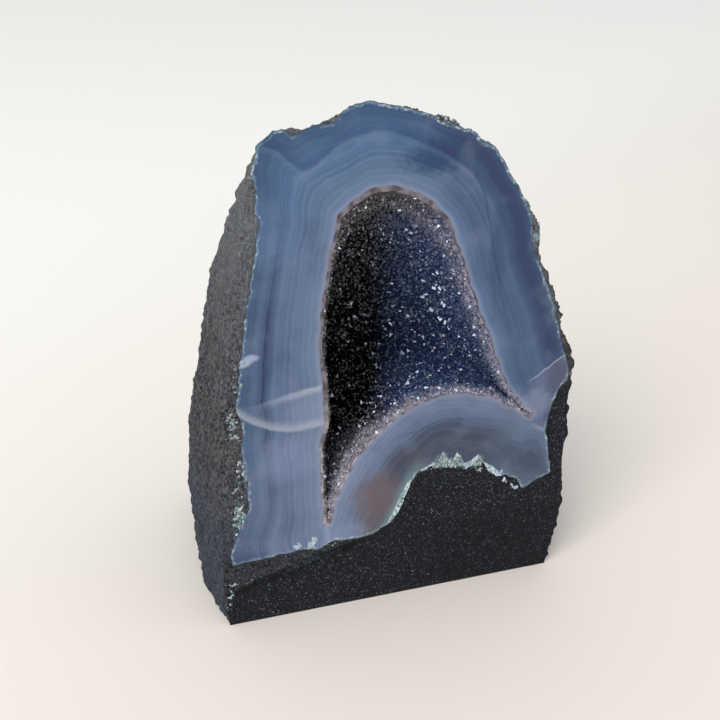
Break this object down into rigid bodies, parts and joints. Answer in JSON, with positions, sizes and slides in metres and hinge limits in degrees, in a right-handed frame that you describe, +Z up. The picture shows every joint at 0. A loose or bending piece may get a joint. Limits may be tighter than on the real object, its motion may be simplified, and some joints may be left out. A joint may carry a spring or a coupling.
{
  "type": "amethyst cathedral geode",
  "caption": "Upright cut-base geode: rough basalt outside, polished blue-grey agate face and a deep hollow lined with small dark amethyst crystals.",
  "frame": {"origin": "middle of the bounding box on the sawn base, which is the plane z = 0", "axes": "+Z up from the sawn base, -Y out of the polished face, +X to the right of someone who looks at that face"},
  "size_m": [0.1036, 0.0752, 0.1404],
  "materials": {
    "basalt": "matte",
    "agate": "polished",
    "amethyst": "gloss"
  },
  "bodies": {
    "root": {"basalt_matrix": "basalt", "agate_wall": "agate", "amethyst_druse": "amethyst"}
  },
  "joints": []
}
